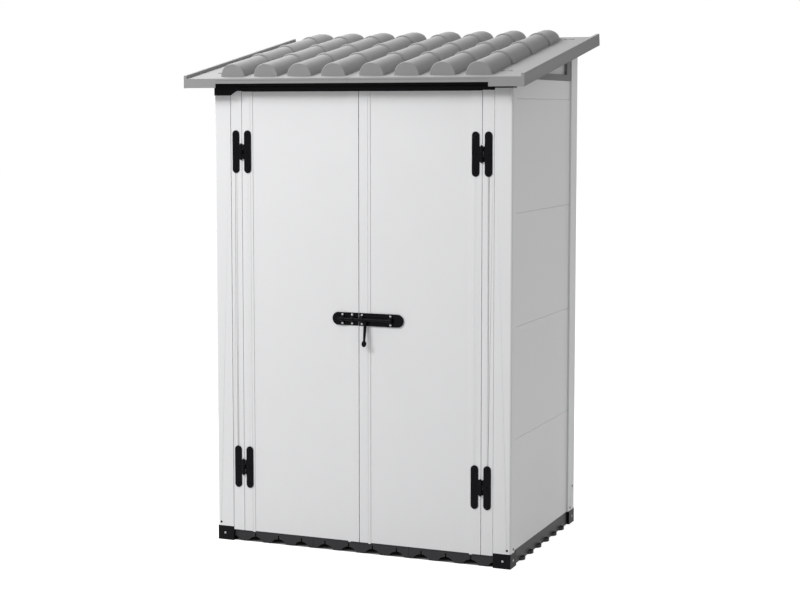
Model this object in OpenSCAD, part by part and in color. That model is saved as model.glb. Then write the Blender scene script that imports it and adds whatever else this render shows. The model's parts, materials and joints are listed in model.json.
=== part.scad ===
// Garden shed with two doors: white wall boards between corner posts, a floor of interlocking
// tiles and a grey roof of two moulded halves with barrel tiles.
// Millimetres. X runs along the front, Y to the rear, Z up. The origin lies on the ground under
// the middle of the whole outline.

/* [Floor] */
// Side of one square floor tile
tile_size = 400; // [370:1:430]
// Height of the floor tiles, which carry the walls
floor_h = 56; // [50:1:64]
// How far the walls stand out past the floor tiles
wall_margin = 10; // [8:1:14]
// Gap between neighbouring floor tiles
tile_gap = 0.6; // [0.4:0.1:1]
// Thickness of the walked-on plate of a tile
tile_plate = 5; // [4:0.5:8]
// Thickness of the ribs under a tile
tile_rib = 7; // [5:0.5:9]
// Width of an arch in a tile's skirt, at the ground
arch_w = 66; // [54:1:72]
// Height of an arch
arch_h = 20; // [16:1:26]
// Width of the slot above an arch
slot_w = 5; // [3:0.5:8]
// Height of the slot above an arch
slot_h = 14; // [8:1:18]
// Outer radius of a coupling loop
loop_r = 25; // [20:1:27]
// Width of the band of a coupling loop
loop_band = 9; // [6:1:12]
// Height of a coupling loop
loop_h = 11.5; // [8:0.5:12]
// How far a coupling loop reaches past its tile
loop_out = 15; // [11:1:18]
// Width of the anti-slip grooves
groove_w = 3; // [2:0.5:5]
// Depth of the anti-slip grooves
groove_deep = 1.2; // [0.8:0.1:2]
// Leg length of a corner block of the base
block_leg = 69; // [56:1:70]

/* [Walls] */
// Height of one wall board
board_h = 420; // [400:1:440]
// Height of the short board at the top of a side
top_board_h = 75; // [70:1:100]
// Thickness of a wall board
board_t = 22; // [18:1:24]
// How far a board lies behind the face of the posts
board_recess = 6; // [4:0.5:8]
// Bevel along the joints of the boards
board_bevel = 2; // [1:0.25:3]
// Thickness of the skins and ribs of a hollow board
board_wall = 2; // [1.5:0.25:2.5]
// Width of the chambers in a hollow board, about
chamber_w = 50; // [35:5:80]
// Width of the tongue on a board
tongue_w = 8; // [6:0.5:9]
// Height of the tongue on a board
tongue_h = 10; // [6:0.5:12]
// Width of a front post across the front
front_post_w = 69; // [69:1:80]
// Depth of a front post along the side
front_post_d = 45; // [40:1:60]
// Width of a rear post across the rear
rear_post_w = 60; // [52:1:70]
// Depth of a rear post along the side
rear_post_d = 85; // [70:1:95]
// Corner radius of the posts
post_corner = 8; // [5:0.5:10]
// Wall of the post profiles
post_wall = 3; // [2:0.5:4]
// How deep a board enters a post
board_seat = 19; // [12:1:20]

/* [Gable] */
// Height of the front end of the gable frame
gable_front_rise = 16; // [12:0.5:22]
// Height of the sill of the gable frame
sill_h = 23; // [18:1:30]
// Width of the rear stile of the gable frame
gable_stile_w = 50; // [36:1:60]
// Height of the sloping rail of the gable frame
gable_rail_h = 24; // [18:1:30]
// Thickness of the gable frame
gable_t = 26; // [24:1:30]
// Thickness of the infill panel
infill_t = 6; // [4:0.5:8]

/* [Doors] */
// Joint between a post and the jamb beside it
post_joint = 1.5; // [1:0.25:3]
// Width of a door jamb
jamb_w = 46; // [42:0.5:60]
// Thickness of a door
door_t = 22; // [20:0.5:23]
// How far doors and jambs lie behind the face of the posts
door_recess = 1; // [0.5:0.25:2.5]
// Gap between the two doors
door_gap = 3; // [2.4:0.1:5]
// Gap between a door and its jamb
jamb_gap = 2; // [1.5:0.5:4]
// Gap between the floor tiles and the doors that pass over them
threshold_gap = 3; // [2:0.5:5]
// How far the aprons of doors and jambs hang below the top of the floor tiles
apron_drop = 11; // [6:0.5:16]
// Thickness of the aprons of the door stiles
apron_t = 3; // [2:0.25:3]
// Gap between a door and the lintel
door_head_gap = 3; // [2:0.5:5]
// Width of a door stile
stile_w = 35; // [34:0.5:42]
// Width of the stepped edge beside the panel
lip_w = 10; // [9:0.5:14]
// Depth of the first step from the stile to its edge
lip_step = 1.2; // [0.8:0.1:2]
// Depth of the panel face behind the stiles
panel_step = 3.5; // [3:0.25:5]
// Thickness of a door panel
panel_t = 15; // [12:0.5:16]
// How far the stepped edge reaches below the door
lip_drop = 3; // [1:0.5:4]
// Height of the lintel over the doors
lintel_h = 59; // [50:0.5:75]
// Thickness of the walls of the lintel
lintel_wall = 4; // [3.5:0.25:6]
// How far the black head stands in front of the posts
head_proud = 1; // [0.5:0.25:2]
// How far the left top corner reaches below the lintel
left_corner_drop = 17.5; // [8:0.5:24]
// How far the right top corner ends above the underside of the lintel
right_corner_rise = 7; // [3:0.5:12]
// Width of the gusset beside a top corner
gusset = 27.5; // [16:0.5:32]

/* [Hinges] */
// Distance of a lower hinge's middle from the bottom edge of the door
low_hinge_inset = 254; // [200:1:300]
// Distance of an upper hinge's middle from the top edge of the door
top_hinge_inset = 231; // [200:1:300]
// Length of a hinge bar
hinge_bar_l = 165; // [140:1:190]
// Width of a hinge bar
hinge_bar_w = 29; // [22:1:30]
// Distance from the hinge pin to a bar
hinge_reach = 10.5; // [10:0.5:12]
// Thickness of the hinge leaves
hinge_t = 3; // [2.5:0.25:4]
// Height of the web between the bars
hinge_web_h = 57; // [48:1:72]
// Radius of a hinge knuckle
knuckle_r = 6; // [5.5:0.25:7]
// Radius of a hinge pin
pin_r = 3; // [2.5:0.25:3.5]
// Running clearance of the pin in its knuckles
pin_fit = 0.08; // [0.05:0.01:0.1]

/* [Bolt] */
// Height of the bolt above the lower edge of the doors
bolt_up = 860; // [700:1:1000]
// Height of the bolt plates
bolt_plate_h = 49; // [46:1:58]
// Thickness of the bolt plates
bolt_plate_t = 2.5; // [2:0.25:4]
// Length of the keeper plate on the left door
keeper_l = 107; // [96:1:130]
// Length of the bolt plate on the right door
bolt_plate_l = 181; // [176:1:210]
// Radius of the sliding rod
rod_r = 7; // [6:0.25:8]
// Length of the sliding rod
rod_l = 224; // [222:1:234]
// How far the thrown rod reaches past the gap between the doors
rod_throw = 84; // [80:1:86]
// Clearance round the rod
rod_fit = 0.3; // [0.2:0.05:0.5]
// Thickness of a strap
strap_t = 2.5; // [2:0.25:3]
// Width of a strap along the rod
strap_w = 14; // [10:1:15]
// Distance of the lever from the gap between the doors
lever_x = 31; // [29:0.5:34]
// Length of the lever from the rod's middle to the middle of the knob
lever_l = 91; // [80:1:110]
// Radius of the lever at the rod
lever_r = 6.8; // [5:0.2:7]
// Radius of the lever at the knob
lever_tip_r = 4.5; // [3:0.25:5]
// Angle at which the hanging lever stands off the door
lever_tilt = 9; // [6:0.5:12]
// Radius of the knob
knob_r = 9.5; // [7:0.25:10]
// Length of the oval knob
knob_l = 25; // [18:0.5:28]

/* [Roof] */
// Overhang of the roof past each side wall
roof_side = 76.5; // [60:0.5:100]
// Overhang of the roof past the front wall
roof_front = 103; // [90:1:150]
// Overhang of the roof past the rear wall
roof_rear = 48; // [20:1:60]
// Slope of the roof in degrees
roof_pitch = 10.4; // [9:0.1:13]
// Thickness of the roof sheet
deck_t = 5; // [4:0.5:6]
// Thickness of the side rims
rim_t = 12; // [8:1:16]
// Height of a side rim above the sheet
rim_up = 12; // [8:1:20]
// Height of a side rim below the sheet
rim_down = 35; // [24:1:40]
// Height of the front edge at its ends
fascia_h = 35; // [28:1:40]
// Height of the front edge between its ends
fascia_mid_h = 19; // [14:1:24]
// Length of each deep end of the front edge
fascia_end = 136; // [110:1:160]
// Thickness of the front edge
fascia_t = 4; // [3:0.5:6]
// Height of the fine groove along the front edge
edge_groove_h = 1.5; // [1:0.25:2.5]
// Height of the rear edge of the roof sheet
rear_edge_h = 25; // [12:1:30]
// Radius of a barrel tile at its front end
barrel_r = 50.5; // [49:0.5:54]
// Radius of a barrel tile at its neck
barrel_neck_r = 47.5; // [47:0.5:49]
// Radius of a barrel tile at its raised collar
barrel_collar_r = 53.5; // [52:0.5:58]
// Radius of the hollow under the barrel tiles
barrel_hollow_r = 44; // [40:0.5:44.5]
// Distance between barrel tile rows
barrel_pitch = 140.5; // [128:0.5:144]
// Distance between the two middle rows
barrel_mid_pitch = 155; // [140:1:160]
// Distance from the front edge to the barrel tiles, along the slope
barrel_set_back = 46; // [30:1:56]
// Length of a barrel tile
barrel_l = 234; // [200:1:240]
// Distance from the rounded end of the barrel tiles to the rear edge, along the slope
barrel_rear_gap = 8; // [6:1:30]
// Length of the raised collar at the front of a barrel tile
collar_l = 45; // [30:1:60]
// Length of the rounded rear end
dome_l = 150; // [100:1:180]
// Width of the lap between the roof halves
lap_w = 24; // [16:1:32]
// Length of a keyhole slot in the roof sheet
keyhole_l = 32; // [24:1:36]
// Width of a keyhole slot
keyhole_w = 7; // [4:0.5:9]
// Radius of the round ends of a keyhole slot
keyhole_r = 8; // [5:0.5:10]

/* [Fasteners] */
// Radius of a screw head
screw_head_r = 4.5; // [3.5:0.25:4.8]
// Height of a screw head
screw_head_h = 2; // [1.5:0.25:2.5]
// Radius of a screw shank
screw_r = 1.8; // [1.4:0.1:2]
// Length of a screw shank
screw_l = 14; // [9:0.5:15]

/* [Hidden] */
$fn = 64;

white = "#ededea";
black = "#1b1b1d";
charcoal = "#38393b";
roof_grey = "#8f9091";
gable_grey = "#5c5d5f";
steel = "#b9bbbd";

// Working gap between pieces that only rest on each other, and overshoot of a cut
seat = 0.2;
cut = 1;

tiles_across = 3;
tiles_deep = 2;
cells = 4;
boards = 4;
cell = tile_size / cells;
floor_w = tiles_across * tile_size;
floor_d = tiles_deep * tile_size;
wall_x = floor_w / 2 + wall_margin;
wall_d = floor_d + 2 * wall_margin;
arch_r = (pow(arch_w / 2, 2) + pow(arch_h, 2)) / (2 * arch_h);

// Heights that the boards give
side_top_z = floor_h + boards * board_h + top_board_h;
roof_under_z = side_top_z + gable_front_rise;
board_out_x = wall_x - board_recess;
board_in_x = board_out_x - board_t;
rear_board_out_y = wall_d - board_recess;
rear_board_in_y = rear_board_out_y - board_t;
tongue_fit = 0.3;

// The roof sheet's upper face starts at this height at the front edge
deck_front_z = roof_under_z - roof_front * tan(roof_pitch) + deck_t / cos(roof_pitch);
roof_half_w = wall_x + roof_side;
roof_l = (wall_d + roof_rear + roof_front - rim_down * sin(roof_pitch)) / cos(roof_pitch);
barrels_per_half = 4;
roof_seam = 1;

// The wall's front face is y = 0 in the modules; this moves the shed's outline over the origin
shed_y = (roof_front - wall_d - roof_rear) / 2;

// Doors
door_front_y = door_recess;
door_back_y = door_front_y + door_t;
jamb_out_x = wall_x - front_post_w - post_joint;
jamb_in_x = jamb_out_x - jamb_w;
door_in_x = door_gap / 2;
door_out_x = jamb_in_x - jamb_gap;
door_bottom_z = floor_h - apron_drop;
door_body_z = floor_h + threshold_gap;
lintel_z = roof_under_z - lintel_h;
door_top_z = lintel_z - door_head_gap;
jamb_apron_y = wall_margin - 0.5;
panel_front_y = door_front_y + panel_step;
panel_seat = 8;
panel_fit = 0.3;
stop_h = 10;
stop_gap = 0.5;
front_proud_y = -head_proud;
lintel_d = front_post_d;
function top_corner_z(side) = lintel_z + (side < 0 ? -left_corner_drop : right_corner_rise);

// Hinges
hinge_x = door_out_x + jamb_gap / 2;
knuckle_gap = 0.4;
hinge_y = door_front_y - knuckle_r - knuckle_gap;
hinge_z = [door_bottom_z + low_hinge_inset, door_top_z - top_hinge_inset];
knuckle_h = hinge_web_h / 3;
hinge_screw_in = 16;
hinge_screw_z = [-hinge_bar_l / 2 + hinge_screw_in, 0, hinge_bar_l / 2 - hinge_screw_in];

// Bolt
bolt_z = door_bottom_z + bolt_up;
bolt_plate_y = door_front_y - bolt_plate_t;
rod_y = bolt_plate_y - rod_fit - rod_r;
plate_edge = 0.5;
plate_end = door_in_x + plate_edge;
keeper_strap_x = [-66, -26];
bolt_strap_x = [14, 131];
strap_in_r = rod_r + rod_fit;
strap_out_r = strap_in_r + strap_t;
strap_edge = 1.5;
strap_half_h = bolt_plate_h / 2 - strap_edge;
strap_screw_z = (strap_out_r + strap_half_h) / 2;

screw_fit = 0.2;
screw_end_gap = 0.5;
head_taper = 0.62;

// Wall between a post's slot for a board and its chambers
slot_wall = post_wall + 1;

// Fasteners of the walls and of the base
base_screw_in = 31;
base_screw_z = 28;
post_screw_z = 70;
post_screw_in = 14;
post_side_screw_in = 31;
rear_screws = [[30, 154], [58, 68]];

module at_shed() {
    translate([0, shed_y, 0]) children();
}

// Right-hand pieces are drawn, left-hand ones are their mirror images
module handed(side) {
    at_shed() mirror([side < 0 ? 1 : 0, 0, 0]) children();
}

// Everything below the under face of the roof sheet
module under_roof() {
    low_y = -roof_front;
    high_y = wall_d + roof_rear;
    rotate([90, 0, 90])
        translate([0, 0, -roof_half_w])
            linear_extrude(2 * roof_half_w)
                polygon([
                    [low_y, 0], [high_y, 0],
                    [high_y, roof_under_z - seat + high_y * tan(roof_pitch)],
                    [low_y, roof_under_z - seat + low_y * tan(roof_pitch)]
                ]);
}

// Screw with its head's seat at the origin, the head towards -Y
module screw() {
    rotate([90, 0, 0]) cylinder(h = screw_head_h, r1 = screw_head_r, r2 = screw_head_r * head_taper);
    rotate([-90, 0, 0]) cylinder(h = screw_l, r = screw_r);
}

module screw_hole() {
    translate([0, -cut, 0])
        rotate([-90, 0, 0]) cylinder(h = screw_l + cut + screw_end_gap, r = screw_r + screw_fit);
}

// Floor tiles
function block_covers(pos, span) = pos < block_leg + loop_r || pos > span - block_leg - loop_r;

module coupling_loop() {
    intersection() {
        difference() {
            translate([loop_out - loop_r, 0, 0]) cylinder(h = loop_h, r = loop_r);
            translate([loop_out - loop_r, 0, -cut])
                cylinder(h = loop_h + 2 * cut, r = loop_r - loop_band);
        }
        translate([-tile_rib / 4, -loop_r, 0]) cube([loop_out + tile_rib, 2 * loop_r, loop_h]);
    }
}

module skirt_arch() {
    translate([0, -cut, arch_h - arch_r])
        rotate([-90, 0, 0]) cylinder(h = tile_rib / 2 + 2 * cut, r = arch_r);
    translate([-slot_w / 2, -cut, arch_h - cut])
        cube([slot_w, tile_rib / 2 + 2 * cut, slot_h + cut]);
}

module floor_tile(col, row) {
    x0 = -floor_w / 2 + col * tile_size;
    y0 = wall_margin + row * tile_size;
    inset = tile_gap / 2;
    pocket = cell - tile_rib;
    color(charcoal) at_shed() translate([x0, y0, 0]) {
        difference() {
            translate([inset, inset, 0])
                cube([tile_size - tile_gap, tile_size - tile_gap, floor_h]);
            for (i = [0 : cells - 1], j = [0 : cells - 1])
                translate([i * cell + tile_rib / 2, j * cell + tile_rib / 2, -cut])
                    cube([pocket, pocket, floor_h - tile_plate + cut]);
            for (k = [0 : cells - 1]) {
                translate([(k + 0.5) * cell, 0, 0]) skirt_arch();
                translate([0, (k + 0.5) * cell, 0]) rotate([0, 0, -90]) skirt_arch();
            }
            for (k = [1 : 2 * cells - 1]) {
                translate([k * cell / 2 - groove_w / 2, -cut, floor_h - groove_deep])
                    cube([groove_w, tile_size + 2 * cut, groove_deep + cut]);
                translate([-cut, k * cell / 2 - groove_w / 2, floor_h - groove_deep])
                    cube([tile_size + 2 * cut, groove_w, groove_deep + cut]);
            }
        }
        for (k = [0 : cells - 1]) {
            across = row == tiles_deep - 1 ? x0 + floor_w / 2 + (k + 0.5) * cell : floor_w / 2;
            along = col == tiles_across - 1 ? y0 + (k + 0.5) * cell : wall_d / 2;
            if (!block_covers(along, wall_d))
                translate([tile_size - inset, (k + 0.5) * cell, 0]) coupling_loop();
            if (!block_covers(across + wall_margin, 2 * wall_x))
                translate([(k + 0.5) * cell, tile_size - inset, 0])
                    rotate([0, 0, 90]) coupling_loop();
        }
    }
}

// Black blocks round the corners of the floor, drawn for the front right corner
module corner_block_shape() {
    difference() {
        translate([wall_x - block_leg, 0, 0]) linear_extrude(floor_h) {
            difference() {
                square(block_leg);
                translate([-cut, wall_margin])
                    square([block_leg - wall_margin + cut, block_leg]);
            }
        }
        translate([wall_x - base_screw_in, 0, base_screw_z]) screw_hole();
        translate([wall_x, base_screw_in, base_screw_z]) rotate([0, 0, 90]) screw_hole();
    }
}

module base_corner(side, rear) {
    color(black) handed(side)
        translate([0, rear ? wall_d : 0, 0]) mirror([0, rear ? 1 : 0, 0]) corner_block_shape();
}

// A square with its corner at [w, 0] rounded
module rounded_corner(w, d, r) {
    square([w - r, d]);
    translate([0, r]) square([w, d - r]);
    translate([w - r, r]) circle(r);
}

module front_post_section() {
    slot_in = front_post_w - board_recess - board_t;
    difference() {
        rounded_corner(front_post_w, front_post_d, post_corner);
        translate([slot_in - seat, front_post_d - board_seat - seat])
            square([board_t + 2 * seat, board_seat + cut]);
        translate([post_wall, post_wall])
            square([slot_in - seat - 2 * post_wall, front_post_d - 2 * post_wall]);
        translate([slot_in, slot_wall])
            square([board_t, front_post_d - board_seat - seat - post_wall - slot_wall]);
    }
}

module front_post(side) {
    color(white) handed(side) difference() {
        translate([wall_x - front_post_w, 0, floor_h])
            linear_extrude(top_corner_z(side) - seat - floor_h) front_post_section();
        translate([wall_x - post_screw_in, 0, post_screw_z]) screw_hole();
        translate([wall_x, post_side_screw_in, post_screw_z])
            rotate([0, 0, 90]) screw_hole();
    }
}

module rear_post_section() {
    side_slot = rear_post_w - board_recess - board_t;
    rear_slot = rear_post_d - board_recess - board_t;
    deep = board_seat + seat;
    difference() {
        translate([0, rear_post_d]) mirror([0, 1, 0])
            rounded_corner(rear_post_w, rear_post_d, post_corner);
        translate([side_slot - seat, -cut]) square([board_t + 2 * seat, deep + cut]);
        translate([-cut, rear_slot - seat]) square([deep + cut, board_t + 2 * seat]);
        translate([deep + post_wall, deep + post_wall])
            square([
                rear_post_w - deep - post_wall - slot_wall,
                rear_post_d - deep - post_wall - slot_wall
            ]);
        translate([post_wall, post_wall])
            square([side_slot - seat - 2 * post_wall, deep - post_wall]);
        translate([post_wall, deep + post_wall])
            square([deep - post_wall, rear_slot - seat - deep - 2 * post_wall]);
    }
}

module rear_post(side) {
    color(white) handed(side) difference() {
        intersection() {
            translate([wall_x - rear_post_w, wall_d - rear_post_d, floor_h])
                linear_extrude(2 * roof_under_z) rear_post_section();
            under_roof();
        }
        for (s = rear_screws)
            translate([wall_x, wall_d - s[0], s[1]]) rotate([0, 0, 90]) screw_hole();
    }
}

// Row of hollow chambers from the first to the last place, with ribs between them
module chambers(first, last, low, t) {
    n = max(1, round((last - first) / chamber_w));
    pitch = (last - first + board_wall) / n;
    for (k = [0 : n - 1])
        translate([first + k * pitch, low + board_wall])
            square([pitch - board_wall, t - 2 * board_wall]);
}

// Section of a wall board: outer face at x = 0, the board towards -X
module board_section(h, tongue, groove) {
    b = board_bevel;
    mid = -board_t / 2;
    difference() {
        union() {
            polygon([
                [-board_t, b], [-board_t + b, 0], [-b, 0], [0, b],
                [0, h - b], [-b, h], [-board_t + b, h], [-board_t, h - b]
            ]);
            if (tongue)
                translate([mid - tongue_w / 2, h - b]) square([tongue_w, tongue_h + b]);
        }
        if (groove)
            translate([mid - tongue_w / 2 - tongue_fit, -cut])
                square([tongue_w + 2 * tongue_fit, tongue_h + tongue_fit + cut]);
        rotate(90) chambers(tongue_h + tongue_fit + board_wall, h - b - board_wall, 0, board_t);
    }
}

module side_board(side, n) {
    last = n == boards;
    front_y = front_post_d - board_seat;
    rear_y = wall_d - rear_post_d + board_seat;
    color(white) handed(side) difference() {
        translate([board_out_x, rear_y, floor_h + n * board_h])
            rotate([90, 0, 0])
                linear_extrude(rear_y - front_y)
                    board_section(last ? top_board_h : board_h, !last, n > 0);
        if (n == 0)
            translate([wall_x, post_side_screw_in, post_screw_z])
                rotate([0, 0, 90]) screw_hole();
    }
}

module rear_board(n) {
    last = n == boards;
    end_x = wall_x - rear_post_w + board_seat;
    rear_top_z = roof_under_z + wall_d * tan(roof_pitch) + board_wall;
    color(white) at_shed() intersection() {
        translate([-end_x, rear_board_out_y, floor_h + n * board_h])
            rotate([90, 0, 90])
                linear_extrude(2 * end_x)
                    board_section(
                        last ? rear_top_z - floor_h - n * board_h : board_h, !last, n > 0);
        under_roof();
    }
}

// Gable outline in [y, z]: front end, rear end and the slope, drawn in by a margin
function gable_points(front, rear, bottom, top) = [
    [front, bottom],
    [rear, bottom],
    [rear, roof_under_z - seat - top + rear * tan(roof_pitch)],
    [front, max(bottom + thin_edge, roof_under_z - seat - top + front * tan(roof_pitch))]
];

thin_edge = 0.1;
gable_front_y = front_post_d + seat;
gable_rear_y = wall_d - rear_post_d - seat;
window_rear_y = gable_rear_y - gable_stile_w;
window_set_back = 8;
window_front_y = window_set_back
    + (side_top_z + sill_h - roof_under_z + seat + gable_rail_h) / tan(roof_pitch);
infill_seat = 6;
infill_deep = 10;
infill_x = board_out_x - infill_deep;
gable_out_x = board_out_x + 2;

module gable_plate(points, out_x, t) {
    translate([out_x - t, 0, 0]) rotate([90, 0, 90]) linear_extrude(t) polygon(points);
}

module gable_frame(side) {
    grow = infill_seat;
    color(gable_grey) handed(side) difference() {
        gable_plate(
            gable_points(gable_front_y, gable_rear_y, side_top_z, 0), gable_out_x, gable_t);
        gable_plate(
            gable_points(window_front_y, window_rear_y, side_top_z + sill_h, gable_rail_h),
            gable_out_x + cut, gable_t + 2 * cut);
        gable_plate(
            gable_points(
                window_front_y - grow, window_rear_y + grow, side_top_z + sill_h - grow,
                gable_rail_h - grow),
            infill_x + seat, infill_t + 2 * seat);
    }
}

module gable_infill(side) {
    grow = infill_seat - seat;
    color(white) handed(side)
        gable_plate(
            gable_points(
                window_front_y - grow, window_rear_y + grow, side_top_z + sill_h - grow,
                gable_rail_h - grow),
            infill_x, infill_t);
}

// Black head of the front: lintel and top corners. The left corner hangs below the lintel and runs
// up to it in a gusset in front of the jamb
module top_corner(side) {
    z0 = top_corner_z(side);
    color(black) handed(side) intersection() {
        difference() {
            union() {
                translate([wall_x - front_post_w - post_joint / 2, front_proud_y, z0])
                    cube([
                        front_post_w + post_joint / 2, front_post_d - front_proud_y, roof_under_z
                    ]);
                translate([jamb_out_x - gusset, front_proud_y, lintel_z])
                    cube([gusset + post_joint, front_post_d - front_proud_y, roof_under_z]);
                if (z0 < lintel_z)
                    rotate([90, 0, 0]) translate([0, 0, seat - door_front_y])
                        linear_extrude(door_front_y - seat - front_proud_y) polygon([
                            [wall_x - front_post_w + cut, z0], [jamb_out_x, z0],
                            [jamb_out_x - gusset, lintel_z],
                            [wall_x - front_post_w + cut, lintel_z]
                        ]);
            }
            translate([board_in_x - seat, front_post_d - board_seat - seat, 0])
                cube([board_t + 2 * seat, board_seat + cut, side_top_z + seat]);
        }
        under_roof();
    }
}

module lintel() {
    end_x = jamb_out_x - gusset - seat;
    groove_z = lintel_z + 16;
    groove_h = 4;
    groove_d = 2;
    color(black) at_shed() intersection() {
        union() {
            difference() {
                translate([-end_x, front_proud_y, lintel_z])
                    cube([2 * end_x, lintel_d - front_proud_y, roof_under_z]);
                translate([-end_x - cut, front_proud_y - cut, groove_z])
                    cube([2 * (end_x + cut), groove_d + cut, groove_h]);
                translate([-end_x - cut, front_proud_y + lintel_wall, lintel_z + lintel_wall])
                    cube([
                        2 * (end_x + cut), lintel_d - front_proud_y - 2 * lintel_wall,
                        roof_under_z
                    ]);
            }
            translate([-jamb_in_x + seat, door_back_y + stop_gap, lintel_z - stop_h])
                cube([2 * (jamb_in_x - seat), lintel_d - door_back_y - stop_gap, stop_h]);
        }
        under_roof();
    }
}

// A jamb stands on the floor tiles and hangs down in front of them as an apron
module door_jamb(side) {
    color(white) handed(side) difference() {
        union() {
            translate([jamb_in_x, door_front_y, floor_h])
                cube([
                    jamb_out_x - jamb_in_x, front_post_d - door_front_y, lintel_z - seat - floor_h
                ]);
            translate([jamb_in_x, door_front_y, door_bottom_z])
                cube([jamb_out_x - jamb_in_x, jamb_apron_y - door_front_y, apron_drop + cut]);
        }
        translate([jamb_in_x + post_wall, jamb_apron_y + post_wall, floor_h - cut])
            cube([
                jamb_out_x - jamb_in_x - 2 * post_wall,
                front_post_d - jamb_apron_y - 2 * post_wall, lintel_z - floor_h - post_wall
            ]);
        for (z = hinge_z, dz = hinge_screw_z)
            translate([hinge_x + hinge_reach + hinge_bar_w / 2, door_front_y, z + dz])
                screw_hole();
    }
}

// Section of a door stile in [x, y], its edge at x = 0 and the panel towards +X
module stile_section() {
    difference() {
        union() {
            translate([0, door_front_y]) square([stile_w, door_t]);
            translate([stile_w - cut, door_front_y + lip_step])
                square([lip_w + cut, door_t - lip_step]);
        }
        translate([stile_w + lip_w - panel_seat - panel_fit, panel_front_y - panel_fit])
            square([panel_seat + panel_fit + cut, panel_t + 2 * panel_fit]);
        translate([post_wall, door_front_y + post_wall])
            square([stile_w - 2 * post_wall, door_t - 2 * post_wall]);
    }
}

// The body of a stile passes over the floor tiles, its front skin hangs in front of them
module stile_body() {
    translate([0, 0, door_body_z])
        linear_extrude(door_top_z - door_body_z) stile_section();
    difference() {
        translate([0, 0, door_bottom_z - lip_drop])
            linear_extrude(door_body_z - door_bottom_z + lip_drop + cut) intersection() {
                stile_section();
                translate([0, door_front_y]) square([stile_w + lip_w, apron_t]);
            }
        translate([-cut, door_front_y - cut, door_bottom_z - lip_drop - cut])
            cube([stile_w + cut, door_t + 2 * cut, lip_drop + cut]);
    }
}

module meeting_stile(side) {
    straps = side > 0 ? bolt_strap_x : -keeper_strap_x;
    color(white) handed(side) difference() {
        translate([door_in_x, 0, 0]) stile_body();
        for (x = straps, s = [-1, 1])
            if (x < door_in_x + stile_w)
                translate([x, door_front_y, bolt_z + s * strap_screw_z]) screw_hole();
    }
}

module hinge_stile(side) {
    color(white) handed(side) difference() {
        translate([door_out_x, 0, 0]) mirror([1, 0, 0]) stile_body();
        for (z = hinge_z, dz = hinge_screw_z)
            translate([hinge_x - hinge_reach - hinge_bar_w / 2, door_front_y, z + dz])
                screw_hole();
    }
}

module door_panel(side) {
    in_x = door_in_x + stile_w + lip_w - panel_seat;
    out_x = door_out_x - stile_w - lip_w + panel_seat;
    straps = side > 0 ? bolt_strap_x : -keeper_strap_x;
    color(white) handed(side) difference() {
        union() {
            translate([in_x, panel_front_y, door_body_z])
                linear_extrude(door_top_z - door_body_z) difference() {
                    square([out_x - in_x, panel_t]);
                    chambers(board_wall, out_x - in_x - board_wall, 0, panel_t);
                }
            translate([in_x, panel_front_y, door_bottom_z])
                cube([out_x - in_x, board_wall, door_body_z - door_bottom_z + cut]);
        }
        for (x = straps, s = [-1, 1])
            if (x > door_in_x + stile_w)
                translate([x, door_front_y, bolt_z + s * strap_screw_z]) screw_hole();
    }
}

// Hinges, drawn about the pin: the bar towards +X
module hinge_leaf(knuckles) {
    bar_x = hinge_reach + hinge_bar_w / 2;
    half = hinge_bar_l / 2 - hinge_bar_w / 2;
    leaf_y = door_front_y - hinge_t - hinge_y;
    difference() {
        union() {
            translate([0, leaf_y + hinge_t, 0]) rotate([90, 0, 0]) linear_extrude(hinge_t) {
                translate([hinge_reach, -half]) square([hinge_bar_w, 2 * half]);
                for (s = [-1, 1]) translate([bar_x, s * half]) circle(hinge_bar_w / 2);
            }
            for (k = knuckles) {
                z0 = (k - 1.5) * knuckle_h + knuckle_gap / 2;
                translate([0, 0, z0]) cylinder(h = knuckle_h - knuckle_gap, r = knuckle_r);
                translate([0, leaf_y, z0])
                    cube([hinge_reach + cut, hinge_t, knuckle_h - knuckle_gap]);
            }
            translate([knuckle_r + knuckle_gap, leaf_y, -hinge_web_h / 2])
                cube([hinge_reach + cut - knuckle_r - knuckle_gap, hinge_t, hinge_web_h]);
        }
        translate([0, 0, -hinge_web_h]) cylinder(h = 2 * hinge_web_h, r = pin_r + pin_fit);
        for (z = hinge_screw_z) translate([bar_x, leaf_y, z]) screw_hole();
    }
}

module hinge_frame_leaves() {
    color(black) at_shed() for (side = [-1, 1], z = hinge_z)
        translate([side * hinge_x, hinge_y, z])
            mirror([side < 0 ? 1 : 0, 0, 0]) hinge_leaf([0, 2]);
}

module hinge_door_leaves(side) {
    color(black) at_shed() for (z = hinge_z)
        translate([side * hinge_x, hinge_y, z])
            mirror([side > 0 ? 1 : 0, 0, 0]) hinge_leaf([1]);
}

module hinge_pins() {
    cap_r = pin_r + 1.5;
    color(black) at_shed() for (side = [-1, 1], z = hinge_z)
        translate([side * hinge_x, hinge_y, z]) {
            translate([0, 0, -hinge_web_h / 2]) cylinder(h = hinge_web_h, r = pin_r);
            for (s = [0, 1]) mirror([0, 0, s]) translate([0, 0, hinge_web_h / 2])
                intersection() {
                    sphere(cap_r);
                    translate([-cap_r, -cap_r, 0]) cube(2 * cap_r);
                }
        }
}

// Bolt plate in [x, z] with its square end at x = 0 and its round end towards +X
module bolt_plate_shape(l, straps) {
    r = bolt_plate_h / 2;
    difference() {
        translate([0, door_front_y, bolt_z]) rotate([90, 0, 0]) linear_extrude(bolt_plate_t) {
            translate([plate_end, -r]) square([l - r, bolt_plate_h]);
            translate([plate_end + l - r, 0]) circle(r);
        }
        for (x = straps, s = [-1, 1])
            translate([x, bolt_plate_y, bolt_z + s * strap_screw_z]) screw_hole();
    }
}

module keeper_plate() {
    color(black) handed(-1) bolt_plate_shape(keeper_l, -keeper_strap_x);
}

module bolt_plate() {
    color(black) at_shed() bolt_plate_shape(bolt_plate_l, bolt_strap_x);
}

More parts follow.
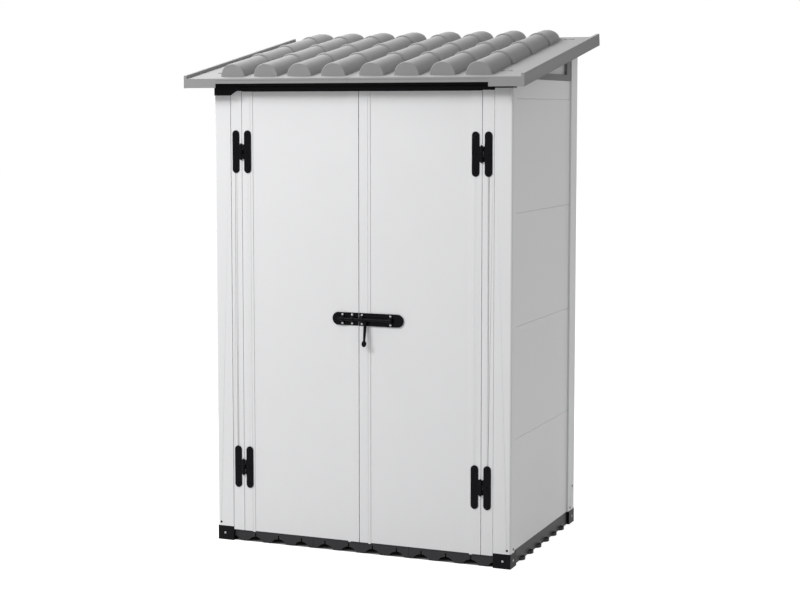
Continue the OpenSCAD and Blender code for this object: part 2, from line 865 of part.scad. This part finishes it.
// Bridge over the rod with a foot above and below it
module strap(x) {
    foot_y = bolt_plate_y - strap_t;
    difference() {
        translate([x - strap_w / 2, 0, bolt_z]) rotate([90, 0, 90]) linear_extrude(strap_w)
            difference() {
                union() {
                    translate([rod_y, 0]) circle(strap_out_r);
                    translate([rod_y, -strap_out_r])
                        square([bolt_plate_y - rod_y, 2 * strap_out_r]);
                    translate([foot_y, -strap_half_h]) square([strap_t, 2 * strap_half_h]);
                }
                translate([rod_y, 0]) circle(strap_in_r);
                translate([rod_y, -strap_in_r]) square([strap_in_r + cut, 2 * strap_in_r]);
                translate([bolt_plate_y, -bolt_plate_h]) square([strap_out_r, 2 * bolt_plate_h]);
            }
        for (s = [-1, 1])
            translate([x, foot_y, bolt_z + s * strap_screw_z]) screw_hole();
    }
}

module keeper_straps() {
    color(black) at_shed() for (x = keeper_strap_x) strap(x);
}

module bolt_straps() {
    color(black) at_shed() for (x = bolt_strap_x) strap(x);
}

module bolt_rod() {
    bevel = 1.5;
    color(black) at_shed() translate([-rod_throw, rod_y, bolt_z]) rotate([0, 90, 0]) {
        cylinder(h = bevel, r1 = rod_r - bevel, r2 = rod_r);
        translate([0, 0, bevel]) cylinder(h = rod_l - 2 * bevel, r = rod_r);
        translate([0, 0, rod_l - bevel]) cylinder(h = bevel, r1 = rod_r, r2 = rod_r - bevel);
    }
}

// Half outline of the lever as [radius, distance from the rod's axis]: a tapered arm, then the knob
function lever_points() = concat(
    [[0, rod_r + seat], [lever_r, rod_r + seat], [lever_tip_r, lever_l - knob_l / 2]],
    [for (a = [-60 : 15 : 75]) [knob_r * cos(a), lever_l + knob_l / 2 * sin(a)]],
    [[0, lever_l + knob_l / 2]]
);

module bolt_lever() {
    color(black) at_shed() translate([lever_x, rod_y, bolt_z]) rotate([180 - lever_tilt, 0, 0])
        rotate_extrude() polygon(lever_points());
}

// Roof. The sheet's frame: v along the slope from the front edge, w square to it
module on_slope() {
    translate([0, -roof_front, deck_front_z]) rotate([roof_pitch, 0, 0]) children();
}

// Half outline of one tile as [radius, distance]. All but the first start with a raised collar,
// which stands over the end of the tile before
seam_w = 2;
seam_deep = 1.5;
edge_r = 3;
barrel_sink = 1.5;
tile_rows = 3;
barrel_total_l = roof_l - barrel_set_back - barrel_rear_gap;

function collar_points(s0, fall) = [
    for (t = [0.125 : 0.125 : 1])
        [barrel_collar_r - fall * (1 - cos(180 * t)) / 2, s0 + edge_r + (collar_l - edge_r) * t]
];

function tile_points(n) =
    let (s0 = n * barrel_l, end_s = s0 + barrel_l)
    concat(
        n == 0 ? [] : [[barrel_collar_r - edge_r / 2, s0], [barrel_collar_r, s0 + edge_r]],
        n == 0 ? [] : collar_points(s0, barrel_collar_r - barrel_r),
        [[barrel_neck_r, end_s - seam_w], [barrel_neck_r - seam_deep, end_s]]
    );

function row_points() =
    let (dome_s = barrel_total_l - dome_l, last_s = tile_rows * barrel_l)
    concat(
        [[0, 0], [barrel_r - edge_r, 0]],
        [for (a = [30, 60]) [barrel_r - edge_r * (1 - sin(a)), edge_r * (1 - cos(a))]],
        [[barrel_r, edge_r]],
        [for (n = [0 : tile_rows - 1], p = tile_points(n)) p],
        [[barrel_collar_r - edge_r / 2, last_s], [barrel_collar_r, last_s + edge_r]],
        collar_points(last_s, barrel_collar_r - barrel_r),
        [for (a = [0 : 15 : 75]) if (dome_s + dome_l * sin(a) > last_s + collar_l + seam_w)
            [barrel_r * cos(a), dome_s + dome_l * sin(a)]],
        [[0, barrel_total_l]]
    );

module barrel_row() {
    rotate([90, 0, 0]) rotate_extrude(angle = 180)
        polygon([for (p = row_points()) [p[0], -p[1]]]);
}

module keyhole() {
    translate([-keyhole_l / 2, -keyhole_w / 2, -deck_t - cut])
        cube([keyhole_l, keyhole_w, deck_t + 2 * cut]);
    for (s = [-1, 1])
        translate([s * keyhole_l / 2, 0, -deck_t - cut])
            cylinder(h = deck_t + 2 * cut, r = keyhole_r);
}

// The lap under the seam of the roof halves runs between the lintel and the rear wall
lap_root = 10;
lap_gap = 3;
lap_v = [
    (front_post_d + lap_gap + roof_front) / cos(roof_pitch),
    (rear_board_in_y - lap_gap + roof_front) / cos(roof_pitch)
];
keyhole_x = wall_x - front_post_w / 2 + 4;
keyhole_v = [
    (front_post_d / 2 + roof_front) / cos(roof_pitch),
    (wall_d - rear_post_d / 4 + roof_front) / cos(roof_pitch)
];
edge_groove_up = 12;

module roof_half(side) {
    row_x = [for (k = [0 : barrels_per_half - 1]) barrel_mid_pitch / 2 + k * barrel_pitch];
    color(roof_grey) handed(side) difference() {
        union() {
            on_slope() {
                translate([roof_seam / 2, -rim_down, -deck_t])
                    cube([roof_half_w - roof_seam / 2, roof_l + rim_down, deck_t]);
                translate([roof_half_w - rim_t, -rim_down, -rim_down])
                    cube([rim_t, roof_l + rim_down, rim_down + rim_up]);
                translate([roof_seam / 2, roof_l - fascia_t, -rear_edge_h])
                    cube([roof_half_w - roof_seam / 2, fascia_t, rear_edge_h]);
                for (x = row_x)
                    translate([x, barrel_set_back, -barrel_sink]) barrel_row();
                if (side < 0) {
                    translate([-lap_w, lap_v[0], -2 * deck_t - seat])
                        cube([lap_w + lap_root, lap_v[1] - lap_v[0], deck_t]);
                    translate([roof_seam / 2, lap_v[0], -2 * deck_t - seat])
                        cube([lap_root - roof_seam / 2, lap_v[1] - lap_v[0], deck_t + cut]);
                }
            }
            translate([roof_seam / 2, -roof_front, deck_front_z - fascia_h])
                cube([roof_half_w - roof_seam / 2, fascia_t, fascia_h]);
        }
        translate([-cut, -roof_front - 2 * rim_down, 0])
            cube([roof_half_w + 2 * cut, 2 * rim_down, 2 * roof_under_z]);
        translate([-cut, -roof_front - cut, deck_front_z - fascia_h - cut])
            cube([
                roof_half_w - fascia_end + cut, fascia_t + 2 * cut, fascia_h - fascia_mid_h + cut
            ]);
        translate([
            -cut, -roof_front - cut, deck_front_z - fascia_mid_h + edge_groove_up - edge_groove_h
        ])
            cube([
                roof_half_w - fascia_end + cut, edge_groove_h + cut, edge_groove_h
            ]);
        on_slope() {
            for (x = row_x)
                translate([x, barrel_set_back + fascia_t, -barrel_sink]) rotate([-90, 0, 0])
                    cylinder(h = barrel_total_l - dome_l - fascia_t, r = barrel_hollow_r);
            for (v = keyhole_v) translate([keyhole_x, v, 0]) keyhole();
        }
    }
}

// Screws
module frame_screws() {
    color(black) {
        for (side = [-1, 1]) handed(side) {
            for (z = hinge_z, dz = hinge_screw_z)
                translate([
                    hinge_x + hinge_reach + hinge_bar_w / 2, door_front_y - hinge_t, z + dz
                ]) screw();
            translate([wall_x - post_screw_in, 0, post_screw_z]) screw();
            translate([wall_x, post_side_screw_in, post_screw_z]) rotate([0, 0, 90]) screw();
            for (s = rear_screws)
                translate([wall_x, wall_d - s[0], s[1]]) rotate([0, 0, 90]) screw();
        }
    }
}

// Short screws through the base corner blocks only
module block_screw() {
    rotate([90, 0, 0]) cylinder(h = screw_head_h, r1 = screw_head_r, r2 = screw_head_r * head_taper);
    rotate([-90, 0, 0]) cylinder(h = wall_margin, r = screw_r);
}

module base_screws() {
    color(steel) for (side = [-1, 1], rear = [0, 1])
        handed(side) translate([0, rear * wall_d, 0]) mirror([0, rear, 0]) {
            translate([wall_x - base_screw_in, 0, base_screw_z]) block_screw();
            translate([wall_x, base_screw_in, base_screw_z]) rotate([0, 0, 90]) block_screw();
        }
}

module door_screws(side) {
    straps = side > 0 ? bolt_strap_x : -keeper_strap_x;
    color(steel) handed(side) {
        for (z = hinge_z, dz = hinge_screw_z)
            translate([
                hinge_x - hinge_reach - hinge_bar_w / 2, door_front_y - hinge_t, z + dz
            ]) screw();
        for (x = straps, s = [-1, 1])
            translate([x, bolt_plate_y - strap_t, bolt_z + s * strap_screw_z]) screw();
    }
}

floor_tile(0, 0);  // floor_tile_1
floor_tile(1, 0);  // floor_tile_2
floor_tile(2, 0);  // floor_tile_3
floor_tile(0, 1);  // floor_tile_4
floor_tile(1, 1);  // floor_tile_5
floor_tile(2, 1);  // floor_tile_6
base_corner(-1, false);  // base_corner_front_left
base_corner(1, false);  // base_corner_front_right
base_corner(-1, true);  // base_corner_rear_left
base_corner(1, true);  // base_corner_rear_right
front_post(-1);  // front_post_left
front_post(1);  // front_post_right
rear_post(-1);  // rear_post_left
rear_post(1);  // rear_post_right
side_board(-1, 0);  // side_board_left_1
side_board(-1, 1);  // side_board_left_2
side_board(-1, 2);  // side_board_left_3
side_board(-1, 3);  // side_board_left_4
side_board(-1, 4);  // side_board_left_5
side_board(1, 0);  // side_board_right_1
side_board(1, 1);  // side_board_right_2
side_board(1, 2);  // side_board_right_3
side_board(1, 3);  // side_board_right_4
side_board(1, 4);  // side_board_right_5
rear_board(0);  // rear_board_1
rear_board(1);  // rear_board_2
rear_board(2);  // rear_board_3
rear_board(3);  // rear_board_4
rear_board(4);  // rear_board_5
gable_frame(-1);  // gable_frame_left
gable_frame(1);  // gable_frame_right
gable_infill(-1);  // gable_infill_left
gable_infill(1);  // gable_infill_right
lintel();
top_corner(-1);  // top_corner_left
top_corner(1);  // top_corner_right
door_jamb(-1);  // door_jamb_left
door_jamb(1);  // door_jamb_right
roof_half(-1);  // roof_left
roof_half(1);  // roof_right
door_panel(-1);  // door_panel_left
hinge_stile(-1);  // hinge_stile_left
meeting_stile(-1);  // meeting_stile_left
door_panel(1);  // door_panel_right
hinge_stile(1);  // hinge_stile_right
meeting_stile(1);  // meeting_stile_right
hinge_frame_leaves();
hinge_pins();
hinge_door_leaves(-1);  // hinge_leaves_left
hinge_door_leaves(1);  // hinge_leaves_right
keeper_plate();
keeper_straps();
bolt_plate();
bolt_straps();
bolt_rod();
bolt_lever();
frame_screws();
base_screws();
door_screws(-1);  // left_door_screws
door_screws(1);  // right_door_screws
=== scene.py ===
"""Garden shed: finishes, soft edges, screws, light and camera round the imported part."""

import json
import math

import bpy
from mathutils import Matrix, Vector


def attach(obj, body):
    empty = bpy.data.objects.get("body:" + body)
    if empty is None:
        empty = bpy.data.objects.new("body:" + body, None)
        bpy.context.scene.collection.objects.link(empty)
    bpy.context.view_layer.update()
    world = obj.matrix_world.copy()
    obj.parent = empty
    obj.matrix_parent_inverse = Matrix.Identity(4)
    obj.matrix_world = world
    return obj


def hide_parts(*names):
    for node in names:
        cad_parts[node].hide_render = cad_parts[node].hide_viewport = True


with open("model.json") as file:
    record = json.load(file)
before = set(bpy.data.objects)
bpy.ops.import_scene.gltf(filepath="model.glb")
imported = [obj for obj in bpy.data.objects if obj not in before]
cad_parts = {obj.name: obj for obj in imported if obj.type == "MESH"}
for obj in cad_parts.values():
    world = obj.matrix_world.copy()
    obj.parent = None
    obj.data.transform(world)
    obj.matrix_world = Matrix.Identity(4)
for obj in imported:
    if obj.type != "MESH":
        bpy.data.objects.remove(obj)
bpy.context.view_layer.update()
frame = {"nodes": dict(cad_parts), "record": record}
nodes = frame["nodes"]

# Camera: the photograph's own view. Lengths in metres, angles in degrees.
LENS_MM = 76.77
SENSOR_MM = 36.0
CAMERA_AT = (2.5857, -6.2587, 1.6921)
CAMERA_YAW = 22.3588
CAMERA_PITCH = -5.0029
SHIFT_UP = -0.05


def photo_camera():
    """Camera at the photograph's place, tipped down, with the lens shifted for the rest."""
    data = bpy.data.cameras.new("camera")
    data.lens = LENS_MM
    data.sensor_width = SENSOR_MM
    data.shift_y = SHIFT_UP
    camera = bpy.data.objects.new("camera", data)
    bpy.context.scene.collection.objects.link(camera)
    yaw, pitch = math.radians(CAMERA_YAW), math.radians(CAMERA_PITCH)
    ahead = Vector((-math.sin(yaw) * math.cos(pitch), math.cos(yaw) * math.cos(pitch),
                    math.sin(pitch)))
    right = Vector((math.cos(yaw), math.sin(yaw), 0))
    turn = Matrix((right, right.cross(ahead), -ahead)).transposed()
    camera.matrix_world = Matrix.Translation(CAMERA_AT) @ turn.to_4x4()
    bpy.context.scene.camera = camera


photo_camera()


# Finishes: size and depth of the cloudy shade and of the fine grain, and how far the gloss strays
CLOUD_SCALE = 7.0
CLOUD_DETAIL = 5.0
GRAIN_DETAIL = 2.0
GRAIN_STRENGTH = 0.35
GRAIN_DEPTH = 0.00004
GLOSS_SPREAD = 0.05


def moulded(name, colour, roughness, mottle=0.06, grain=900.0, sheen=0.5):
    """Plastic or painted metal: faint cloudy shade, fine grain and a little change of gloss."""
    material = bpy.data.materials.new(name)
    material.use_nodes = True
    tree = material.node_tree
    shader = tree.nodes["Principled BSDF"]
    place = tree.nodes.new("ShaderNodeTexCoord")

    cloud = tree.nodes.new("ShaderNodeTexNoise")
    cloud.inputs["Scale"].default_value = CLOUD_SCALE
    cloud.inputs["Detail"].default_value = CLOUD_DETAIL
    tree.links.new(place.outputs["Object"], cloud.inputs["Vector"])

    shade = tree.nodes.new("ShaderNodeMix")
    shade.data_type = "RGBA"
    shade.inputs["A"].default_value = (*[c * (1 - mottle) for c in colour], 1)
    shade.inputs["B"].default_value = (*[min(1.0, c * (1 + mottle)) for c in colour], 1)
    tree.links.new(cloud.outputs["Fac"], shade.inputs["Factor"])
    tree.links.new(shade.outputs["Result"], shader.inputs["Base Color"])

    speck = tree.nodes.new("ShaderNodeTexNoise")
    speck.inputs["Scale"].default_value = grain
    speck.inputs["Detail"].default_value = GRAIN_DETAIL
    tree.links.new(place.outputs["Object"], speck.inputs["Vector"])

    gloss = tree.nodes.new("ShaderNodeMapRange")
    gloss.inputs["To Min"].default_value = roughness - GLOSS_SPREAD
    gloss.inputs["To Max"].default_value = roughness + GLOSS_SPREAD
    tree.links.new(cloud.outputs["Fac"], gloss.inputs["Value"])
    tree.links.new(gloss.outputs["Result"], shader.inputs["Roughness"])

    relief = tree.nodes.new("ShaderNodeBump")
    relief.inputs["Strength"].default_value = GRAIN_STRENGTH
    relief.inputs["Distance"].default_value = GRAIN_DEPTH
    tree.links.new(speck.outputs["Fac"], relief.inputs["Height"])
    tree.links.new(relief.outputs["Normal"], shader.inputs["Normal"])
    shader.inputs["Specular IOR Level"].default_value = sheen
    return material


WHITE = moulded("white_pvc", (0.82, 0.825, 0.83), 0.36, mottle=0.012)
BLACK = moulded("black_moulding", (0.004, 0.004, 0.005), 0.45, mottle=0.15, sheen=0.09)
FLOOR = moulded(
    "floor_tile_plastic", (0.019, 0.019, 0.021), 0.5, mottle=0.3, grain=500.0, sheen=0.3)
ROOF = moulded("roof_moulding", (0.29, 0.29, 0.293), 0.62, mottle=0.05, grain=700.0, sheen=0.25)
GABLE = moulded("gable_moulding", (0.25, 0.25, 0.255), 0.6, mottle=0.05, sheen=0.25)
INFILL = moulded("gable_infill_sheet", (0.74, 0.745, 0.75), 0.45, mottle=0.02)
IRON = moulded(
    "black_powder_coat", (0.003, 0.003, 0.004), 0.3, mottle=0.2, grain=1400.0, sheen=0.07)
ZINC = moulded("zinc_plate", (0.42, 0.42, 0.43), 0.32, mottle=0.1, grain=2000.0)
ZINC.node_tree.nodes["Principled BSDF"].inputs["Metallic"].default_value = 1.0

FINISH_OF_SLOT = {
    "white_plastic": WHITE,
    "black_plastic": BLACK,
    "floor_plastic": FLOOR,
    "roof_plastic": ROOF,
    "gable_plastic": GABLE,
    "infill_plastic": INFILL,
    "black_metal": IRON,
    "screw_steel": ZINC,
}
SLOT_OF_NODE = {p["node"]: p["material_slot"] for p in frame["record"]["subparts"]}

# Radius of the soft edge that each kind of piece has, in metres
EDGE_OF_SLOT = {
    "white_plastic": 0.0008,
    "black_plastic": 0.001,
    "floor_plastic": 0.0006,
    "roof_plastic": 0.001,
    "gable_plastic": 0.0008,
    "infill_plastic": 0.0005,
    "black_metal": 0.0005,
    "screw_steel": 0.0003,
}
# Steps across a soft edge; the roof's thin lips take one
EDGE_STEPS = 2
ROOF_EDGE_STEPS = 1
EDGE_ANGLE = math.radians(35)
# Points closer than this, in metres, become one before the edges are softened
WELD_REACH = 0.00002
# Share that the large faces have in the shading, in percent
LARGE_FACE_WEIGHT = 100


def clear_selection():
    if bpy.context.object and bpy.context.object.mode != "OBJECT":
        bpy.ops.object.mode_set(mode="OBJECT")
    bpy.ops.object.select_all(action="DESELECT")


def pick(obj):
    clear_selection()
    obj.select_set(True)
    bpy.context.view_layer.objects.active = obj


def soften(node, width, steps):
    """Gives a CAD node smooth curves and a narrow rounded edge, with its own mesh left as it is."""
    pick(node)
    bpy.ops.mesh.customdata_custom_splitnormals_clear()
    node.data.polygons.foreach_set("use_smooth", [True] * len(node.data.polygons))
    weld = node.modifiers.new("weld", "WELD")
    weld.merge_threshold = WELD_REACH
    edge = node.modifiers.new("edge", "BEVEL")
    edge.width = width
    edge.segments = steps
    edge.limit_method = "ANGLE"
    edge.angle_limit = EDGE_ANGLE
    edge.use_clamp_overlap = True
    flat = node.modifiers.new("flat", "WEIGHTED_NORMAL")
    flat.weight = LARGE_FACE_WEIGHT
    flat.keep_sharp = True


for name, node in nodes.items():
    slot = SLOT_OF_NODE[name]
    node.data.materials.clear()
    node.data.materials.append(FINISH_OF_SLOT[slot])
    soften(node, EDGE_OF_SLOT[slot], ROOF_EDGE_STEPS if slot == "roof_plastic" else EDGE_STEPS)
clear_selection()


# Screws: one pan head with a cross recess, modelled once in millimetres and copied to each place
MM = 0.001
SHANK_R = 1.7
SHANK_L = 9.0
HEAD_R = 4.4
HEAD_H = 2.0
# Rise of each ring of the head and the share of the radius that it keeps
HEAD_RINGS = ((0.5, 0.99), (0.6, 0.93), (0.45, 0.82), (0.25, 0.7))
HEAD_TOP = sum(rise for rise, share in HEAD_RINGS)
RECESS_R = 1.7
RECESS_WAIST = 0.375
RECESS_DEEP = 1.2
RECESS_TAPER = 0.8
RECESS_POINTS = 12
HEAD_POINTS = 32
# How near a point has to lie to the recess, and to the height of the head's top, to be picked
PICK_REACH = 0.1
PICK_HEIGHT = 0.01
RIM_W = 0.1
RIM_STEPS = 2
RIM_ANGLE = math.radians(50)
SCREW_SMOOTH_ANGLE = math.radians(35)
# Points of a screw in the CAD node that lie closer than this, in metres, are one
SCREW_JOIN = 0.00001


def edit_all():
    bpy.ops.object.mode_set(mode="EDIT")
    bpy.ops.mesh.select_all(action="SELECT")


def pull(rise, share):
    """Draws the selected face or loop on along -Y and scales it about the screw's axis."""
    bpy.ops.mesh.extrude_region_move(TRANSFORM_OT_translate={"value": (0, -rise, 0)})
    bpy.ops.transform.resize(value=(share, 1, share), center_override=(0, 0, 0))


def pick_points(mesh_object, wanted):
    """Selects the points that a test picks, and goes on in edit mode."""
    bpy.ops.mesh.select_all(action="DESELECT")
    bpy.ops.mesh.select_mode(type="VERT")
    bpy.ops.object.mode_set(mode="OBJECT")
    for point in mesh_object.data.vertices:
        point.select = wanted(point.co)
    bpy.ops.object.mode_set(mode="EDIT")


def in_recess(point):
    """True for a point of the head's top that belongs to the recess."""
    return (math.hypot(point.x, point.z) < RECESS_R + PICK_REACH
            and point.y < -HEAD_TOP + PICK_HEIGHT)


def screw_shape():
    """Pan head towards -Y with its seat at the origin, and its shank behind it."""
    clear_selection()
    bpy.ops.mesh.primitive_circle_add(
        vertices=HEAD_POINTS, radius=SHANK_R, fill_type="NGON", rotation=(math.pi / 2, 0, 0),
        location=(0, SHANK_L, 0))
    screw = bpy.context.object
    screw.name = "screw_pattern"
    bpy.ops.object.transform_apply(location=True, rotation=True, scale=False)
    edit_all()
    pull(SHANK_L, 1)
    pull(0, HEAD_R / SHANK_R)
    for rise, share in HEAD_RINGS:
        pull(rise, share)
    bpy.ops.mesh.delete(type="ONLY_FACE")

    bpy.ops.mesh.primitive_circle_add(
        vertices=RECESS_POINTS, radius=RECESS_R,
        rotation=(math.pi / 2, math.pi / RECESS_POINTS, 0),
        location=(0, -HEAD_TOP, 0))
    pick_points(screw, lambda p: in_recess(p) and abs(abs(p.x) - abs(p.z)) < PICK_REACH)
    bpy.ops.transform.resize(
        value=(RECESS_WAIST, 1, RECESS_WAIST), center_override=(0, 0, 0))
    bpy.ops.mesh.select_mode(type="EDGE")
    bpy.ops.mesh.select_all(action="DESELECT")
    bpy.ops.mesh.select_non_manifold()
    bpy.ops.mesh.bridge_edge_loops()
    pick_points(screw, in_recess)
    pull(-RECESS_DEEP, RECESS_TAPER)
    bpy.ops.mesh.edge_face_add()
    bpy.ops.mesh.select_all(action="SELECT")
    bpy.ops.mesh.normals_make_consistent(inside=False)
    bpy.ops.object.mode_set(mode="OBJECT")

    rim = screw.modifiers.new("rim", "BEVEL")
    rim.width = RIM_W
    rim.segments = RIM_STEPS
    rim.angle_limit = RIM_ANGLE
    bpy.ops.object.modifier_apply(modifier="rim")
    edit_all()
    bpy.ops.transform.resize(value=(MM, MM, MM), center_override=(0, 0, 0))
    bpy.ops.object.mode_set(mode="OBJECT")
    bpy.ops.object.shade_smooth_by_angle(angle=SCREW_SMOOTH_ANGLE)
    return screw


def screw_places(node):
    """Seat and outward direction of each screw that a CAD node holds."""
    copy = node.copy()
    copy.data = node.data.copy()
    bpy.context.scene.collection.objects.link(copy)
    pick(copy)
    copy.modifiers.clear()
    edit_all()
    bpy.ops.mesh.remove_doubles(threshold=SCREW_JOIN)
    bpy.ops.mesh.separate(type="LOOSE")
    bpy.ops.object.mode_set(mode="OBJECT")
    places = []
    for part in list(bpy.context.selected_objects):
        corners = [part.matrix_world @ Vector(corner) for corner in part.bound_box]
        low = Vector([min(c[i] for c in corners) for i in range(3)])
        high = Vector([max(c[i] for c in corners) for i in range(3)])
        along = max(range(2), key=lambda i: high[i] - low[i])
        middle = (low + high) / 2
        outward = Vector((0, 0, 0))
        outward[along] = 1 if middle[along] > 0 else -1
        seat = middle + outward * ((high[along] - low[along]) / 2 - HEAD_H * MM)
        places.append((seat, outward))
        bpy.data.objects.remove(part)
    return places


BODY_OF_NODE = {
    node: body
    for body, members in frame["record"]["behaviour"]["bodies"].items()
    for node in members
}
# Half the width round the gap of the doors in which the screws are the bolt's, in metres
BOLT_REACH = 0.3


def add_screws(pattern, group):
    """Screws of one CAD node: zinc ones on the bolt and the base, black ones elsewhere."""
    for number, (seat, outward) in enumerate(screw_places(nodes[group])):
        zinc = group == "base_screws" or ("door" in group and abs(seat.x) < BOLT_REACH)
        screw = pattern.copy()
        screw.data = pattern.data.copy()
        screw.name = f"{group}_{number + 1:02d}"
        bpy.context.scene.collection.objects.link(screw)
        turn = Vector((0, -1, 0)).rotation_difference(outward).to_matrix().to_4x4()
        screw.matrix_world = Matrix.Translation(seat) @ turn
        pick(screw)
        bpy.ops.object.transform_apply(location=True, rotation=True, scale=True)
        screw.data.materials.append(ZINC if zinc else IRON)
        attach(screw, BODY_OF_NODE[group])
        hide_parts(group)


screw_pattern = screw_shape()
for group in ("frame_screws", "base_screws", "left_door_screws", "right_door_screws"):
    add_screws(screw_pattern, group)
bpy.data.objects.remove(screw_pattern)
clear_selection()


# Light: a softbox over the roof, two high in front, and a pale room
def softbox(name, at, aim, size, power):
    data = bpy.data.lights.new(name, "AREA")
    data.shape = "RECTANGLE"
    data.size, data.size_y = size
    data.energy = power
    light = bpy.data.objects.new(name, data)
    bpy.context.scene.collection.objects.link(light)
    light.location = at
    light.rotation_euler = (Vector(aim) - Vector(at)).to_track_quat("-Z", "Y").to_euler()


softbox("over_roof", (-2.4, 0.3, 4.6), (0, 0, 1.9), (2.5, 2.5), 178)
softbox("head_front", (-1.2, -3.4, 3.4), (0, -0.4, 1.5), (1.6, 1.0), 58)
softbox("key_front_left", (-2.8, -3.8, 3.4), (0, -0.38, 1.1), (0.4, 0.4), 42)


def seen_directly(tree, ray):
    """1 for camera, mirror and glass rays, 0 for the rays that light the object."""
    total = ray.outputs["Is Camera Ray"]
    for kind in ("Is Glossy Ray", "Is Transmission Ray"):
        add = tree.nodes.new("ShaderNodeMath")
        add.operation = "ADD"
        add.use_clamp = True
        tree.links.new(total, add.inputs[0])
        tree.links.new(ray.outputs[kind], add.inputs[1])
        total = add.outputs["Value"]
    return total


# The room as the eye and reflections meet it, and the share of it that lights the object
ROOM_SEEN = 1.0
ROOM_LIGHT = 0.52
WHITE_LIGHT = (1, 1, 1, 1)


def pale_room():
    """White to the eye and in reflections, a gentler grey as light."""
    world = bpy.data.worlds.new("room")
    bpy.context.scene.world = world
    world.use_nodes = True
    tree = world.node_tree
    tree.nodes.clear()
    ray = tree.nodes.new("ShaderNodeLightPath")
    seen = tree.nodes.new("ShaderNodeBackground")
    seen.inputs["Color"].default_value = WHITE_LIGHT
    seen.inputs["Strength"].default_value = ROOM_SEEN
    lit = tree.nodes.new("ShaderNodeBackground")
    lit.inputs["Color"].default_value = WHITE_LIGHT
    lit.inputs["Strength"].default_value = ROOM_LIGHT
    mix = tree.nodes.new("ShaderNodeMixShader")
    out = tree.nodes.new("ShaderNodeOutputWorld")
    tree.links.new(seen_directly(tree, ray), mix.inputs["Fac"])
    tree.links.new(lit.outputs["Background"], mix.inputs[1])
    tree.links.new(seen.outputs["Background"], mix.inputs[2])
    tree.links.new(mix.outputs["Shader"], out.inputs["Surface"])


pale_room()


# Glow that makes the floor white to the eye, and in metres the ground beneath the shed that has
# none: a patch of painted shadow, where the floor shows only its real lighting, shaded by the shed
FLOOR_GLOW = 0.88
FLOOR_W = 60
FLOOR_GREY = (0.42, 0.42, 0.42, 1)
SHADOW_PATCH_HALF_X = 0.59
SHADOW_PATCH_MIDDLE_Y = 0.02
SHADOW_PATCH_HALF_Y = 0.39


def within(tree, value, middle, half):
    """1 where a value lies no further than half from the middle."""
    node = tree.nodes.new("ShaderNodeMath")
    node.operation = "COMPARE"
    tree.links.new(value, node.inputs[0])
    node.inputs[1].default_value = middle
    node.inputs[2].default_value = half
    return node.outputs["Value"]


def painted_shadow_under_shed(tree, part):
    """1 on the ground beneath the floor tiles, 0 elsewhere: the mask of the painted shadow patch.
    """
    both = tree.nodes.new("ShaderNodeMath")
    both.operation = "MULTIPLY"
    tree.links.new(within(tree, part.outputs["X"], 0.0, SHADOW_PATCH_HALF_X), both.inputs[0])
    tree.links.new(within(tree, part.outputs["Y"], SHADOW_PATCH_MIDDLE_Y, SHADOW_PATCH_HALF_Y), both.inputs[1])
    return both.outputs["Value"]


def studio_floor():
    """Pale floor that reads as white and keeps a faint real shadow, with painted shadow beneath the
    shed, where its glow is left off.
    """
    clear_selection()
    bpy.ops.mesh.primitive_plane_add(size=FLOOR_W, location=(0, 0, 0))
    floor = bpy.context.object
    floor.name = "studio_floor"
    material = bpy.data.materials.new("studio_floor")
    material.use_nodes = True
    tree = material.node_tree
    tree.nodes.clear()
    ray = tree.nodes.new("ShaderNodeLightPath")
    matt = tree.nodes.new("ShaderNodeBsdfDiffuse")
    matt.inputs["Color"].default_value = FLOOR_GREY
    bright = tree.nodes.new("ShaderNodeEmission")
    bright.inputs["Color"].default_value = WHITE_LIGHT
    bright.inputs["Strength"].default_value = FLOOR_GLOW
    # Painted shadow: no glow on the ground beneath the shed, so the ground there shows darker
    painted_shadow = tree.nodes.new("ShaderNodeEmission")
    painted_shadow.inputs["Strength"].default_value = 0.0
    place = tree.nodes.new("ShaderNodeTexCoord")
    part = tree.nodes.new("ShaderNodeSeparateXYZ")
    tree.links.new(place.outputs["Object"], part.inputs["Vector"])
    glow = tree.nodes.new("ShaderNodeMixShader")
    tree.links.new(painted_shadow_under_shed(tree, part), glow.inputs["Fac"])
    tree.links.new(bright.outputs["Emission"], glow.inputs[1])
    tree.links.new(painted_shadow.outputs["Emission"], glow.inputs[2])
    both = tree.nodes.new("ShaderNodeAddShader")
    mix = tree.nodes.new("ShaderNodeMixShader")
    out = tree.nodes.new("ShaderNodeOutputMaterial")
    tree.links.new(matt.outputs["BSDF"], both.inputs[0])
    tree.links.new(glow.outputs["Shader"], both.inputs[1])
    tree.links.new(seen_directly(tree, ray), mix.inputs["Fac"])
    tree.links.new(matt.outputs["BSDF"], mix.inputs[1])
    tree.links.new(both.outputs["Shader"], mix.inputs[2])
    tree.links.new(mix.outputs["Shader"], out.inputs["Surface"])
    floor.data.materials.append(material)


studio_floor()
clear_selection()

bpy.context.scene.view_settings.view_transform = "Standard"
